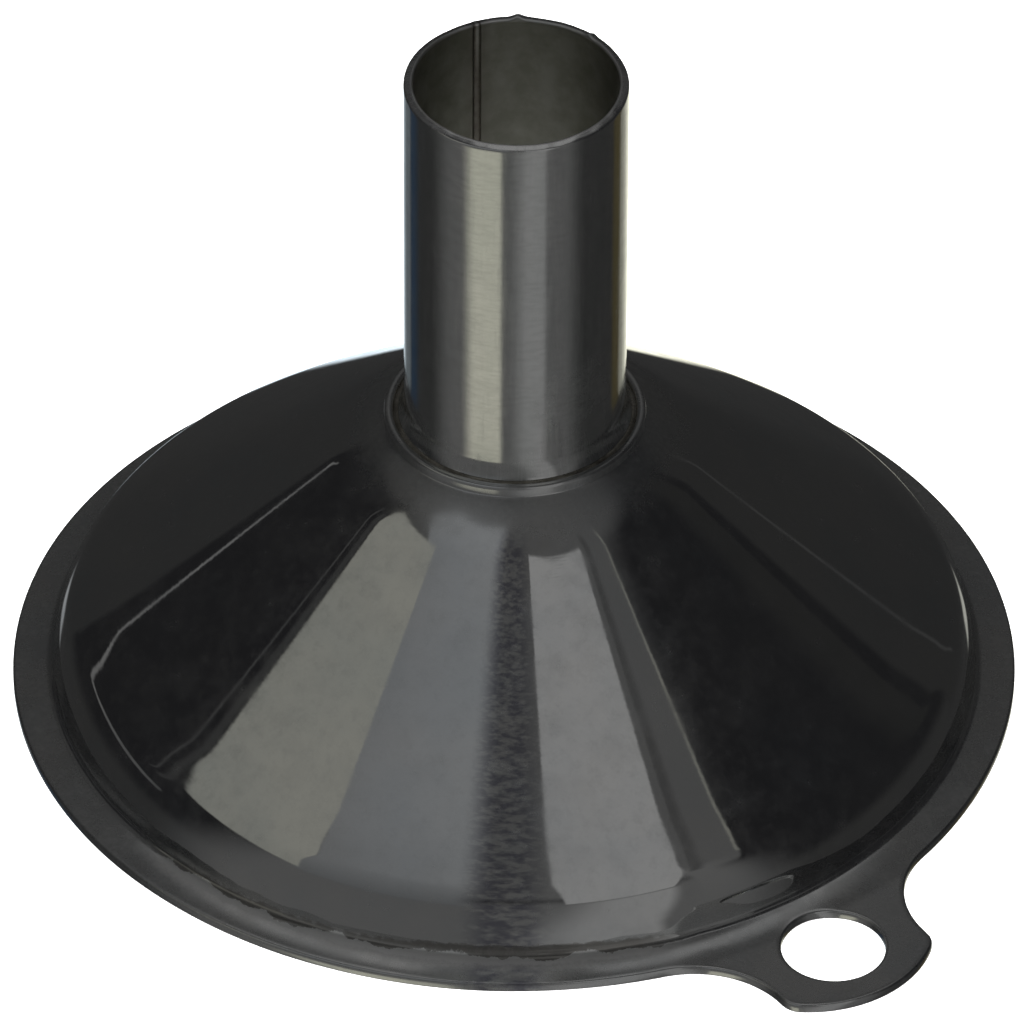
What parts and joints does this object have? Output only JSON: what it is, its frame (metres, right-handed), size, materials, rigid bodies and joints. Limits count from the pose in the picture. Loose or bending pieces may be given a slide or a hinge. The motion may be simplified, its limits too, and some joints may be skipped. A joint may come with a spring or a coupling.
{
  "type": "funnel",
  "caption": "Small stainless steel funnel: flanged conical bowl with a rounded shoulder and a pierced hanging tab on the rim, and a straight rolled spout brazed to the neck.",
  "frame": {"origin": "on the funnel's axis, in the plane of the rim's underside, where the funnel stands", "axes": "+Z along the axis from the mouth towards the spout's end; +X towards the hanging tab; right-handed"},
  "size_m": [0.0616, 0.055, 0.04],
  "materials": {
    "bowl_steel": "bright polished stainless steel with faint spun lines round the axis",
    "spout_steel": "bright drawn stainless steel strip, faint lengthwise lines, bright cut edge",
    "weld_steel": "fine rippled weld bead with a slight heat tint, ground back on the outside",
    "braze_metal": "dull dark filler in the neck joint"
  },
  "bodies": {
    "root": {"bowl": "bowl_steel", "spout_tube": "spout_steel", "seam_weld": "weld_steel", "neck_braze": "braze_metal"}
  },
  "joints": []
}
